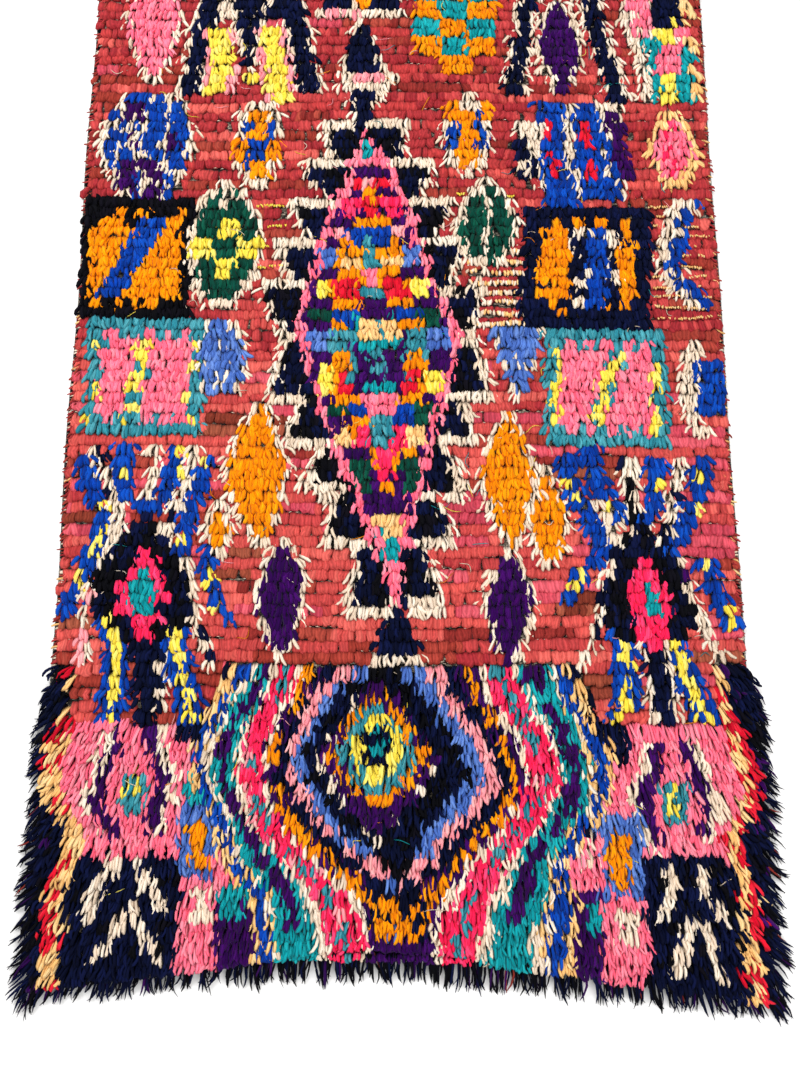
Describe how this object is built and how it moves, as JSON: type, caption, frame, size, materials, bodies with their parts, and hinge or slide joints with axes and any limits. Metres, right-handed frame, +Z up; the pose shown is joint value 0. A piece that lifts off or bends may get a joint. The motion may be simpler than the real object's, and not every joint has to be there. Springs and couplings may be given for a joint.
{
  "type": "azilal rug",
  "caption": "Rectangular hand-knotted rag rug with a ribbed, patterned field, a deep shag panel at one end and loose dark locks round the panel's rim.",
  "frame": {"origin": "middle of the rug's outline, on the floor that it lies on", "axes": "+Z up out of the pile, +Y along the rug from its shag end to its plain end, +X across the rug to the right seen from above with the shag end nearest"},
  "size_m": [1.412, 2.5392, 0.029],
  "materials": {
    "rag_pile": "matt cut jersey rag pile, red field with many-coloured figures",
    "dark_locks": "matt cut jersey rag locks, navy to black"
  },
  "bodies": {
    "root": {"rug": "rag_pile", "left_locks": "dark_locks", "right_locks": "dark_locks", "end_locks": "dark_locks"}
  },
  "joints": []
}
